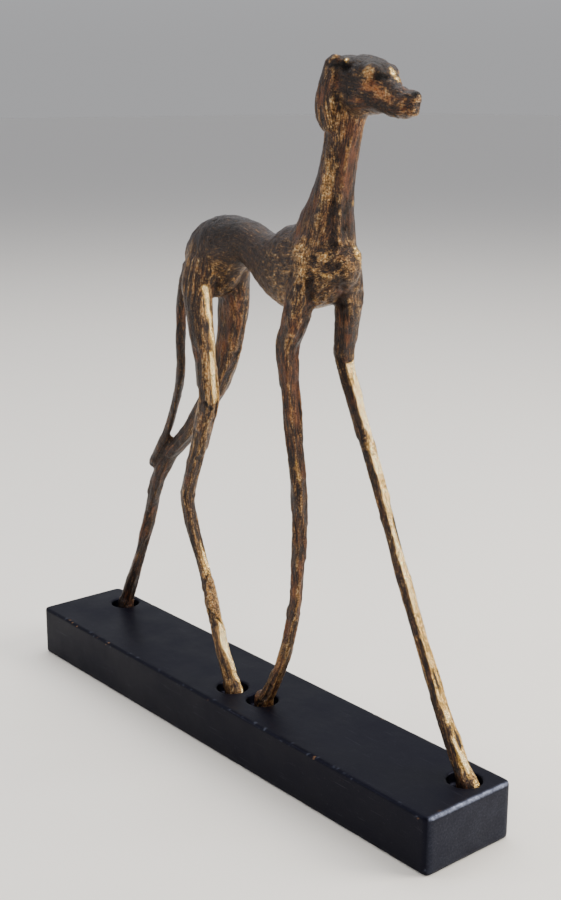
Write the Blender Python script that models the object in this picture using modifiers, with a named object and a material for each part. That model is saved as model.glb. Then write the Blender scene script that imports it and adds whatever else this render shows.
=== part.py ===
"""A walking greyhound, cast in one piece, on a long black wooden plinth.

Metres, +Z up, +X the way the hound walks, +Y its left side.
The origin is the middle of the plinth's underside.
"""

import math

import bmesh
import bpy
from mathutils import Vector

# The figure, from the plinth's top to the crown of the head
HOUND_HEIGHT = 0.392

# The plinth and the four blind holes that the feet stand in
PLINTH_THICKNESS = 0.035
PLINTH_EDGE_RADIUS = 0.0016
PLINTH_CORNER_RADIUS = 0.004
SOCKET_DEPTH = 0.008
SOCKET_CLEARANCE = 0.005
SIDE_WALL = 0.0042
REAR_WALL = 0.0207
FRONT_WALL = 0.0079
STANDING_GAP = 0.0003

# The pose is drawn on a grid with 392 steps from the plinth's top to the crown
GRID_STEPS = 392
GRID = HOUND_HEIGHT / GRID_STEPS
FOOT_RADIUS = 5.2 * GRID

# How finely the joined forms are skinned, and how far the skin is smoothed and thinned
SKIN_STEP = 1.45 * GRID
SKIN_SMOOTHING = 0.5
SKIN_PASSES = 3
SKIN_KEEP = 0.095

# A section has this many corners, and there are this many rings between two stations
SECTION_CORNERS = 20
RINGS_BETWEEN = 4

# A form runs along its stations. Each station is x, y, z, then half its size fore and aft
# (up and down on a form that lies along X), and half its size from side to side.
TRUNK = [
    (-49, 0, 268, 5, 4),
    (-45, 0, 269, 10.5, 8.6),
    (-35, 0, 273, 16.5, 13),
    (-21, 0, 279.5, 18.5, 15.2),
    (-5, 0, 284, 16.5, 14.5),
    (10, 0, 285.4, 12.4, 12),
    (22, 0, 280, 13.5, 11.6),
    (36, 0, 275, 19, 13.2),
    (48, 0, 274.5, 24, 15.5),
    (60, 0, 275.5, 24, 17),
    (74, 0, 277, 21.5, 17),
    (86, 0, 280, 17, 14.5),
    (95, 0, 282, 11, 10),
    (100, 0, 283, 5, 5),
]
NECK = [
    (70, 0, 276, 22, 13),
    (75.5, 0, 291, 21.5, 13),
    (78.6, 0, 303, 17.8, 11.3),
    (81.8, 0, 314, 13.6, 9.8),
    (84.6, 0, 325, 11.4, 8.8),
    (87.8, 0, 338, 10.8, 8),
    (90.5, 0, 350, 11.2, 8),
    (92, 0, 360, 12.5, 8.6),
    (94, 0, 371, 13, 9),
]
HEAD = [
    (78, 0, 378, 6, 5),
    (81, 0, 377, 11.5, 8.5),
    (90, 0, 375.5, 15, 10.5),
    (102, 0, 375, 15.5, 11.3),
    (112, 0, 375, 15, 10.6),
    (120, 0, 372.5, 12.8, 8.8),
    (127, 0, 369, 9, 6.7),
    (134, 0, 366.5, 7.2, 5.7),
    (140, 0, 365.5, 6.4, 5.5),
    (145, 0, 365.6, 5, 4.4),
]
GROIN = [(-42, 0, 263, 7, 5), (-31, 0, 259, 11, 8), (-18, 0, 262, 10, 8), (-7, 0, 268, 6, 6)]
# The left ear; the right one mirrors it
EAR = [
    (98, 8.5, 388.3, 3, 2.4),
    (93.5, 10.5, 386.2, 5, 3),
    (91.5, 12, 378, 5.8, 2.8),
    (89, 12.2, 367, 7.2, 2.6),
    (89, 11.4, 358, 6.4, 2.4),
    (90.5, 10, 352, 3.2, 2),
]
BROW = [
    (112, 6.8, 384, 2.6, 2.4),
    (117.5, 8, 383.4, 3.6, 3),
    (122, 8, 380.5, 2.8, 2.5),
]
CHEEK = [
    (100, 8.5, 369, 4, 3),
    (112, 8.6, 368, 4.6, 3.4),
    (123, 5.6, 367, 3, 2.4),
]
NOSE = [
    (138, 0, 369, 3, 3.6),
    (143, 0, 369.8, 3.2, 3.6),
    (147, 0, 369.4, 2.2, 2.6),
]
CHIN = [
    (128, 0, 362, 2.4, 4),
    (137, 0, 361.2, 2.6, 4.2),
    (142.5, 0, 361.6, 1.8, 3.2),
]

RIGHT_HIND = [
    (-24, -8, 272, 15, 9.5),
    (-27, -12.4, 258, 11.5, 8),
    (-25, -13.5, 248, 9.8, 7.2),
    (-21, -14.7, 231, 7.7, 6.4),
    (-18.3, -14, 208, 6.4, 6),
    (-16.6, -13, 188, 6.4, 5.9),
    (-22.5, -12.5, 172, 6, 5.4),
    (-32, -11.8, 148, 4.9, 4.8),
    (-42.5, -11.2, 124, 4.4, 4.4),
    (-44.3, -11, 114, 4.8, 4.4),
    (-38, -11, 98, 4, 4),
    (-25, -11, 68, 3.8, 3.8),
    (-9.5, -11, 26, 4, 4),
    (-1, -11, 8, 4.8, 4.5),
]
LEFT_HIND = [
    (-22, 8, 272, 16, 10),
    (-24.8, 13, 252, 12.2, 7.8),
    (-28.4, 15.2, 236, 10.3, 7),
    (-31.6, 15.4, 219.5, 8.7, 6.6),
    (-38.4, 15.8, 204, 7.8, 6.6),
    (-50, 16.4, 184, 6.8, 6),
    (-78, 17.2, 152, 5.4, 5),
    (-104, 17.6, 130, 5.3, 4.7),
    (-119, 17.8, 108, 5, 4.4),
    (-128, 18, 89, 4.5, 4.2),
    (-138.5, 18.4, 62, 3.9, 3.9),
    (-155, 18.8, 28, 4, 4),
    (-164, 19, 9, 4.6, 4.4),
]
RIGHT_FORE = [
    (71, -7, 277, 15, 9),
    (70.5, -13, 260, 9.5, 7.6),
    (65.2, -13.6, 243, 6.7, 6.2),
    (60, -13.4, 232, 6.2, 5.7),
    (61, -12.8, 210, 5.3, 5),
    (64.5, -12, 178, 4.9, 4.8),
    (67.6, -11, 144, 4.5, 4.5),
    (67, -10.2, 112, 4.1, 4.1),
    (63, -9.4, 78, 3.9, 3.9),
    (54.3, -8.7, 44, 4, 4),
    (42.3, -8.2, 18, 4.2, 4.1),
    (35, -8, 6, 4.6, 4.4),
]
LEFT_FORE = [
    (80, 8, 278, 14, 9),
    (81.5, 13.6, 260, 8.4, 7.4),
    (78.8, 14.2, 240, 6.4, 6),
    (77.8, 14, 226, 5.4, 5.2),
    (82, 14, 212, 4.5, 4.5),
    (97, 14, 180, 4.2, 4.2),
    (120, 14, 128, 4.2, 4.2),
    (143, 14, 76, 4.1, 4.1),
    (162.5, 14, 37, 4.1, 4.2),
    (175, 14, 14, 4.6, 4.6),
    (180, 14, 5, 4.8, 4.8),
]
# Where each foot's sole stands, x and y, and how far its blind hole's middle lies behind it
SOLES = {
    "right_hind": (4, -11, 2),
    "left_hind": (-169, 19, 0),
    "right_fore": (30, -8, 1),
    "left_fore": (184.5, 14, 2.5),
}
# A paw, from heel to toes, about the middle of its sole and the plinth's top
PAW = [(-5, 0, 3, 3, 3.4), (0, 0, 0.5, 4.4, 4.6), (4, 0, -2.5, 3.8, 4.6), (6, 0, -4.6, 2.4, 3.4)]
TAIL = [
    (-42, 0, 275, 5, 5),
    (-53, 0, 265, 4.6, 4.4),
    (-60.6, 0.4, 248, 3.8, 3.6),
    (-64.5, 1, 236, 3.3, 3.2),
    (-66.4, 2, 222.7, 3.2, 3.1),
    (-68.7, 3, 209, 3, 3),
    (-72, 5, 195, 3, 3),
    (-78, 7, 180, 2.9, 2.9),
    (-86, 8.5, 165, 2.9, 2.9),
    (-96.3, 10, 149, 2.9, 2.9),
    (-106, 11.5, 136.3, 2.9, 2.9),
    (-112.7, 12.5, 127.6, 3, 3),
    (-117.5, 13, 122.5, 3.3, 3),
    (-119.8, 12.8, 118, 2.4, 2.4),
]
EYE_SOCKET = (123, 10, 376)
EYE_SOCKET_RADIUS = 3.6

# Section shapes: 2 is an ellipse, and higher is squarer, as on the whittled legs
ROUND = 2.0
WHITTLED = 3.4


def clear_scene():
    for old in list(bpy.data.objects):
        bpy.data.objects.remove(old)


def collection(name, hidden=False):
    made = bpy.data.collections.new(name)
    bpy.context.scene.collection.children.link(made)
    made.hide_render = hidden
    return made


def place(obj, where):
    where.objects.link(obj)
    return obj


def helper(obj):
    """Marks a form or a cutter that only shapes another object."""
    obj.hide_render = True
    obj.display_type = "WIRE"
    return obj


def finish(name, colour, roughness, metallic):
    material = bpy.data.materials.new(name)
    material.use_nodes = True
    shader = material.node_tree.nodes["Principled BSDF"]
    shader.inputs["Base Color"].default_value = (*colour, 1)
    shader.inputs["Roughness"].default_value = roughness
    shader.inputs["Metallic"].default_value = metallic
    return material


def between(before, start, end, after, share):
    """A smooth value on the way from start to end, by Catmull and Rom's rule."""
    square, cube = share * share, share**3
    return 0.5 * (
        2 * start
        + (end - before) * share
        + (2 * before - 5 * start + 4 * end - after) * square
        + (3 * start - before - 3 * end + after) * cube
    )


def rings_of(stations):
    """The stations and the rings between them, each as five numbers."""
    ends = [stations[0], *stations, stations[-1]]
    rings = []
    for start in range(1, len(stations)):
        four = ends[start - 1 : start + 3]
        for step in range(RINGS_BETWEEN):
            share = step / RINGS_BETWEEN
            rings.append([between(*values, share) for values in zip(*four)])
    rings.append(list(stations[-1]))
    return rings


def squareness_at(share, squareness):
    """A leg is round where it leaves the body and whittled square from a quarter down."""
    return ROUND + (squareness - ROUND) * min(1, share * 4)


def corner(turn, squareness):
    """One corner of a section of half size 1, at an angle."""
    power = 2 / squareness
    across, along = math.cos(turn), math.sin(turn)
    return (
        math.copysign(abs(across) ** power, across),
        math.copysign(abs(along) ** power, along),
    )


def form(name, stations, squareness, where):
    """A closed skin over the rings, each square to the way that the form runs."""
    rings = rings_of(stations)
    centres = [Vector(ring[:3]) for ring in rings]
    mesh = bmesh.new()
    loops = []
    for index, (centre, ring) in enumerate(zip(centres, rings)):
        onward = centres[min(index + 1, len(rings) - 1)] - centres[max(index - 1, 0)]
        fore = Vector((0, 1, 0)).cross(onward).normalized()
        side = onward.cross(fore).normalized()
        squarer = squareness_at(index / len(rings), squareness)
        loop = []
        for step in range(SECTION_CORNERS):
            along, across = corner(math.tau * step / SECTION_CORNERS, squarer)
            point = centre + fore * (along * ring[3]) + side * (across * ring[4])
            loop.append(mesh.verts.new(point * GRID))
        loops.append(loop)
    for lower, upper in zip(loops, loops[1:]):
        for step in range(SECTION_CORNERS):
            after = (step + 1) % SECTION_CORNERS
            mesh.faces.new((lower[step], lower[after], upper[after], upper[step]))
    mesh.faces.new(loops[0][::-1])
    mesh.faces.new(loops[-1])
    bmesh.ops.recalc_face_normals(mesh, faces=mesh.faces)
    data = bpy.data.meshes.new(name)
    mesh.to_mesh(data)
    mesh.free()
    return place(bpy.data.objects.new(name, data), where)


def mirrored(stations):
    return [(x, -y, z, fore, side) for x, y, z, fore, side in stations]


def paw(name, where):
    x, y, _ = SOLES[name]
    about = [(x + along, y + across, z, high, wide) for along, across, z, high, wide in PAW]
    return form(name + "_paw", about, ROUND, where)


def leg(name, stations, where):
    """A leg that runs down into its hole and on past the floor, to be cut flat there."""
    x, y, _ = SOLES[name]
    radius = FOOT_RADIUS / GRID
    foot = [
        (x, y, -0.5 * SOCKET_DEPTH / GRID, radius, radius * 0.92),
        (x, y, -1.5 * SOCKET_DEPTH / GRID, radius, radius * 0.92),
    ]
    return form(name, stations + foot, WHITTLED, where)


def ball(name, centre, radius, where):
    mesh = bmesh.new()
    bmesh.ops.create_uvsphere(mesh, u_segments=16, v_segments=10, radius=radius * GRID)
    data = bpy.data.meshes.new(name)
    mesh.to_mesh(data)
    mesh.free()
    made = place(bpy.data.objects.new(name, data), where)
    made.location = Vector(centre) * GRID
    return made


def slab(name, low, high, where):
    """A box between two corners."""
    mesh = bmesh.new()
    bmesh.ops.create_cube(mesh, size=1)
    bmesh.ops.scale(mesh, vec=high - low, verts=mesh.verts)
    bmesh.ops.translate(mesh, vec=(high + low) / 2, verts=mesh.verts)
    data = bpy.data.meshes.new(name)
    mesh.to_mesh(data)
    mesh.free()
    return place(bpy.data.objects.new(name, data), where)


def boolean(target, other, operation):
    cut = target.modifiers.new(other.name, "BOOLEAN")
    cut.operation = operation
    cut.solver = "EXACT"
    cut.object = other


def greyhound(material, shown, forms):
    """The casting: every form joined, skinned over as one, softened and thinned."""
    figure = form("greyhound", TRUNK, 2.2, shown)
    joined = [
        form("groin", GROIN, ROUND, forms),
        form("neck", NECK, 2.2, forms),
        form("head", HEAD, 2.3, forms),
        form("left_ear", EAR, 2.4, forms),
        form("right_ear", mirrored(EAR), 2.4, forms),
        form("left_brow", BROW, ROUND, forms),
        form("right_brow", mirrored(BROW), ROUND, forms),
        form("left_cheek", CHEEK, ROUND, forms),
        form("right_cheek", mirrored(CHEEK), ROUND, forms),
        form("nose", NOSE, ROUND, forms),
        form("chin", CHIN, ROUND, forms),
        leg("right_hind", RIGHT_HIND, forms),
        leg("left_hind", LEFT_HIND, forms),
        leg("right_fore", RIGHT_FORE, forms),
        leg("left_fore", LEFT_FORE, forms),
        form("tail", TAIL, ROUND, forms),
        *[paw(name, forms) for name in SOLES],
    ]
    for piece in joined:
        boolean(figure, helper(piece), "UNION")
    for side in (1, -1):
        x, y, z = EYE_SOCKET
        eye = ball(f"eye_socket_{side}", (x, y * side, z), EYE_SOCKET_RADIUS, forms)
        boolean(figure, helper(eye), "DIFFERENCE")
    skin = figure.modifiers.new("skin", "REMESH")
    skin.mode = "VOXEL"
    skin.voxel_size = SKIN_STEP
    soften = figure.modifiers.new("soften", "SMOOTH")
    soften.factor = SKIN_SMOOTHING
    soften.iterations = SKIN_PASSES
    thin = figure.modifiers.new("thin", "DECIMATE")
    thin.ratio = SKIN_KEEP
    sole_level = STANDING_GAP - SOCKET_DEPTH
    below = slab(
        "below_soles",
        Vector((-HOUND_HEIGHT, -HOUND_HEIGHT, -HOUND_HEIGHT)),
        Vector((HOUND_HEIGHT, HOUND_HEIGHT, sole_level)),
        forms,
    )
    boolean(figure, helper(below), "DIFFERENCE")
    figure.data.materials.append(material)
    return figure


def plinth(material, shown, forms):
    """The wooden block, with its edges rounded over and a blind hole for each foot."""
    radius = FOOT_RADIUS + SOCKET_CLEARANCE
    reach = [(x - behind) * GRID for x, _, behind in SOLES.values()]
    spread = max(abs(y) * GRID for _, y, _ in SOLES.values())
    rear = min(reach) - radius - REAR_WALL
    front = max(reach) + radius + FRONT_WALL
    half_width = spread + radius + SIDE_WALL
    mesh = bmesh.new()
    bmesh.ops.create_cube(mesh, size=1)
    size = Vector((front - rear, 2 * half_width, PLINTH_THICKNESS))
    bmesh.ops.scale(mesh, vec=size, verts=mesh.verts)
    upright = [e for e in mesh.edges if abs(e.verts[0].co.z - e.verts[1].co.z) > 0]
    bmesh.ops.bevel(
        mesh, geom=upright, offset=PLINTH_CORNER_RADIUS, segments=4, profile=0.5, affect="EDGES"
    )
    data = bpy.data.meshes.new("plinth")
    mesh.to_mesh(data)
    mesh.free()
    block = place(bpy.data.objects.new("plinth", data), shown)
    middle = (front + rear) / 2
    block.location = (middle, 0, -PLINTH_THICKNESS / 2)
    round_over = block.modifiers.new("round_over", "BEVEL")
    round_over.width = PLINTH_EDGE_RADIUS
    round_over.segments = 3
    round_over.limit_method = "ANGLE"
    round_over.angle_limit = math.radians(60)
    for name, (x, y, behind) in SOLES.items():
        mesh = bmesh.new()
        bmesh.ops.create_cone(
            mesh,
            cap_ends=True,
            segments=32,
            radius1=radius,
            radius2=radius,
            depth=2 * SOCKET_DEPTH,
        )
        data = bpy.data.meshes.new(name + "_socket")
        mesh.to_mesh(data)
        mesh.free()
        bore = place(bpy.data.objects.new(name + "_socket", data), forms)
        bore.location = ((x - behind) * GRID, y * GRID, 0)
        boolean(block, helper(bore), "DIFFERENCE")
    block.data.materials.append(material)
    return block, middle


def stand_on_origin(objects, middle):
    """Moves everything so that the middle of the plinth's underside is the origin."""
    base = bpy.data.objects.new("standing_point", None)
    bpy.context.scene.collection.objects.link(base)
    for obj in objects:
        obj.parent = base
    base.location = (-middle, 0, PLINTH_THICKNESS)


def main():
    clear_scene()
    shown = collection("greyhound_statue")
    forms = collection("forms", hidden=True)
    bronze = finish("antique_gold_casting", (0.16, 0.095, 0.04), 0.42, 0.8)
    black = finish("black_painted_wood", (0.012, 0.011, 0.013), 0.4, 0.0)
    greyhound(bronze, shown, forms)
    _, middle = plinth(black, shown, forms)
    stand_on_origin([*shown.objects, *forms.objects], middle)


main()
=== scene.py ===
"""A walking greyhound of cast brass on a black lacquered plinth, as it was photographed.

The casting's own mesh is skinned finely and worked over as the founder's wax was: whittled into
long planes, scratched, dabbed and hollowed. Then the patina is laid in and rubbed off, and
painted highlights and painted shade go into its colour.
Metres, +X the way the hound walks, +Y its left, +Z up. The wax is worked in millimetres, from the
plinth's top.
"""

import math
import random

import bpy
import numpy as np
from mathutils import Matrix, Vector
from mathutils.bvhtree import BVHTree


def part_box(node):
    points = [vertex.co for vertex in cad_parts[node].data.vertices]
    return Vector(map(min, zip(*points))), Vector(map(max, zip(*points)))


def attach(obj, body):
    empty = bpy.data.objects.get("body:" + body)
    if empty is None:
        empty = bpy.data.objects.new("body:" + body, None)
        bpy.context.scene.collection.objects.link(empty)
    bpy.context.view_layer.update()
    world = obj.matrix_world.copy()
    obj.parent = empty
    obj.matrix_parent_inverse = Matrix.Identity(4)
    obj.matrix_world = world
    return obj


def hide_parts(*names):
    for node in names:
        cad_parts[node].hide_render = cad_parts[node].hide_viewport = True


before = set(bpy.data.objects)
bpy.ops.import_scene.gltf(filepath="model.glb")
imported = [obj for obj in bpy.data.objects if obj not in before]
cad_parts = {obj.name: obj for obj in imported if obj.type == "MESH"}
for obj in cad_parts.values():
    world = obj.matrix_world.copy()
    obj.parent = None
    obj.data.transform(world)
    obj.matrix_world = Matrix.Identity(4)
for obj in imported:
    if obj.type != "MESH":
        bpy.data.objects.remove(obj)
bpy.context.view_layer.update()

MM = 0.001

# The photograph: its size in pixels, and the camera it was taken with
PHOTO_WIDTH, PHOTO_HEIGHT = 561, 900
FOCAL_PIXELS = 1363.0
SENSOR = 36.0
CAMERA_PLACE = Vector((0.6488, -0.5056, 0.4066))
CAMERA_LOOK = Vector((-0.7455, 0.6164, -0.2536))

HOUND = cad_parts["greyhound"]
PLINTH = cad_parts["plinth"]
PLINTH_LOW, PLINTH_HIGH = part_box("plinth")
PLINTH_TOP = np.array([0, 0, PLINTH_HIGH.z / MM])

# Fine skins: the size of a mesh cell, and the rounds of smoothing that take the steps out of a
# rounded form
HOUND_CELL, PLINTH_CELL = 0.98 * MM, 1.15 * MM
HOUND_SOFTENING = 5

# Sockets by number, where others on the node share their name: on a Mix, and on a Math
FACTOR, NUMBER_A, NUMBER_B, COLOUR_A, COLOUR_B = 0, 2, 3, 6, 7
FIRST, SECOND, THIRD = 0, 1, 2

# The casting's lines, from the plinth's top, in millimetres: x, y, z and the form's radius there
LINES = {
    "trunk": [
        (-50, 0, 268, 8), (-35, 0, 274, 15), (-20, 0, 281, 17), (10, 0, 285, 13),
        (24, 0, 280, 13), (48, 0, 275, 19), (74, 0, 277, 19), (100, 0, 283, 8),
    ],
    "neck": [
        (72, 0, 285, 15), (79, 0, 303, 13), (85, 0, 325, 10), (91, 0, 350, 9.5),
        (94, 0, 368, 10),
    ],
    "head": [
        (78, 0, 379, 9), (100, 0, 376, 13), (120, 0, 372, 10), (134, 0, 367, 6.5),
        (148, 0, 366, 5),
    ],
    "right_ear": [
        (98, -9, 388, 3), (92, -11.5, 379, 4.5), (89, -12, 367, 5), (90, -10, 352, 3),
    ],
    "left_ear": [
        (98, 9, 388, 3), (92, 11.5, 379, 4.5), (89, 12, 367, 5), (90, 10, 352, 3),
    ],
    "right_hind": [
        (-24, -10, 268, 12), (-25, -13.5, 248, 9), (-18, -14, 208, 6.3), (-17, -13, 188, 6.1),
        (-32, -11.8, 148, 4.9), (-43.5, -11.2, 120, 4.5), (-38, -11, 98, 4), (-25, -11, 68, 3.8),
        (-9.5, -11, 26, 4), (3, -11, 0, 5.2),
    ],
    "left_hind": [
        (-24, 10, 268, 12), (-28, 15, 236, 8.6), (-38, 15.8, 204, 7.2), (-50, 16.4, 184, 6.4),
        (-78, 17.2, 152, 5.2), (-104, 17.6, 130, 5), (-119, 17.8, 108, 4.7), (-138, 18.4, 62, 3.9),
        (-155, 18.8, 28, 4), (-168, 19, 0, 5),
    ],
    "right_fore": [
        (71, -10, 272, 10), (66, -13.6, 245, 6.6), (60, -13.4, 230, 6), (64.5, -12, 178, 4.9),
        (67.6, -11, 144, 4.5), (67, -10.2, 112, 4.1), (63, -9.4, 78, 3.9), (54, -8.7, 44, 4),
        (42, -8.2, 18, 4.2), (31, -8, 0, 5),
    ],
    "left_fore": [
        (80, 10, 272, 10), (79, 14.2, 242, 6.3), (78, 14, 224, 5.2), (97, 14, 180, 4.2),
        (120, 14, 128, 4.2), (143, 14, 76, 4.1), (163, 14, 36, 4.2), (183, 14, 0, 5),
    ],
    "tail": [
        (-50, 0, 268, 4.6), (-60.6, 0.4, 248, 3.7), (-66.4, 2, 223, 3.1), (-72, 5, 195, 3),
        (-86, 8.5, 165, 2.9), (-106, 11.5, 136, 2.9), (-119, 13, 119, 2.6),
    ],
}
# How finely the lines are stepped through, in millimetres
LINE_STEP = 1.5
# How softly one form gives way to the next, and the least share of a form that its grain marks
JOIN_WIDTH, LEAST_SHARE = 1.6, 0.02
# A plane starts from the high side of a form, as a percentage of its points, and needs a few
HIGH_SIDE, FEWEST_SHAVED = 97, 20
# How even a hand draws a groove: the steady part of its press, and the part that wavers
STEADY_HAND, SHAKY_HAND = 0.75, 0.9
LEGS = ("right_hind", "left_hind", "right_fore", "left_fore")

# What the photograph shows of the tools: pixels along each mark, and its width and height in
# millimetres, below zero for a cut
MARKS = {
    "neck_hollow_high": ([(341, 143), (340, 151), (338, 160)], 4.2, -1.5),
    "neck_furrow": ([(338, 160), (336, 178), (334, 196), (332, 207)], 2.8, -0.7),
    "neck_hollow_low": ([(333, 205), (332, 216), (331, 228), (333, 244)], 4.4, -1.3),
    "neck_slit": ([(346, 202), (345, 214), (344, 228)], 3.2, -1.1),
    "neck_strap_left": ([(329, 150), (326, 170), (323, 190), (320, 208), (318, 224)], 4.5, 1.0),
    "neck_strap_middle": ([(347, 148), (345, 172), (341, 195), (339, 216), (339, 240)], 3.4, 1.1),
    "collar_left": ([(305, 238), (313, 243), (322, 244), (330, 248)], 3.0, 0.7),
    "chest_lip": (
        [(307, 261), (311, 268), (317, 273), (325, 276), (333, 276), (340, 271)], 2.6, 0.9,
    ),
    "far_shoulder_strap": ([(354, 264), (352, 285), (350, 305), (347, 328)], 5.0, 0.9),
    "far_armpit": ([(342, 274), (342, 290), (340, 306)], 3.8, -1.4),
    "bridge_line": ([(400, 85.5), (404, 88), (409, 90.5)], 3.2, 0.6),
    "under_chest_lip": ([(309, 272), (317, 279), (326, 282), (336, 280), (344, 272)], 3.0, -0.7),
    "breast_cut": ([(326, 283), (322, 294), (318, 303)], 3.0, -1.0),
    "breast_cut_right": ([(336, 284), (334, 294), (331, 301)], 3.0, -0.9),
    "shoulder_blade": ([(309, 262), (310, 280), (309, 298), (306, 316)], 4.2, -1.2),
    "shoulder_strap": ([(300, 244), (299, 265), (297, 290), (294, 312), (292, 332)], 7.0, 1.3),
    "brow_ridge": ([(364, 71), (368, 67), (374, 66), (380, 68)], 3.6, 0.6),
    "orbit": ([(365, 72), (365, 79), (368, 86), (374, 90)], 3.0, 0.4),
    "eye_slit": ([(376, 78), (381, 77.5), (387, 76.5)], 2.2, -1.5),
    "eye_corner": ([(368, 79), (371, 81)], 2.6, -0.9),
    "upper_lid": ([(375, 74), (381, 73), (386, 73)], 2.0, 0.6),
    "bridge_side": ([(388, 84), (397, 90), (406, 95)], 3.0, 0.5),
    "nostril": ([(415, 96), (418, 97)], 1.6, -0.4),
    "mouth": ([(402, 109), (408, 107), (414, 105), (420, 104)], 1.8, -0.9),
    "jaw_line": ([(364, 101), (374, 106), (386, 109), (398, 110)], 3.6, -0.6),
    "ear_fold": ([(350, 66), (344, 65), (338, 65), (332, 63)], 2.6, -1.4),
    "ear_curl": ([(333, 55), (329, 58), (327, 63), (330, 66)], 2.2, -0.9),
    "ear_curl_lip": ([(336, 57), (331, 60), (329, 64)], 1.8, 0.8),
    "ear_back_edge": ([(345, 69), (346, 82), (345, 97), (341, 112)], 3.4, -1.1),
    "ear_groove": ([(329, 72), (327, 88), (329, 104), (333, 117)], 2.4, -0.7),
    "ear_groove_inner": ([(338, 74), (337, 92), (338, 108)], 2.4, -0.6),
    "thigh_fold": ([(214, 286), (222, 282), (230, 277), (238, 272)], 3.6, -0.8),
    "knee_crack": ([(205, 403), (211, 409), (218, 411)], 2.0, -1.2),
}
# Dents and bumps in the same way: their pixel, radius and height
SPOTS = {
    "chest_hollow_left": ((313.5, 259), 3.6, -1.4),
    "chest_hollow_right": ((337, 266), 4.0, -1.3),
    "chest_hollow_middle": ((328, 266), 3.2, -0.8),
    "breast_knob": ((322, 256), 4.6, 1.5),
    "shoulder_knob": ((359, 254), 6.0, 0.9),
    "ear_root": ((346, 61), 3.2, 0.9),
    "knee_knob": ((214, 416), 4.6, 0.9),
    "tail_tip": ((153, 462), 4.0, 0.7),
}
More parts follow.
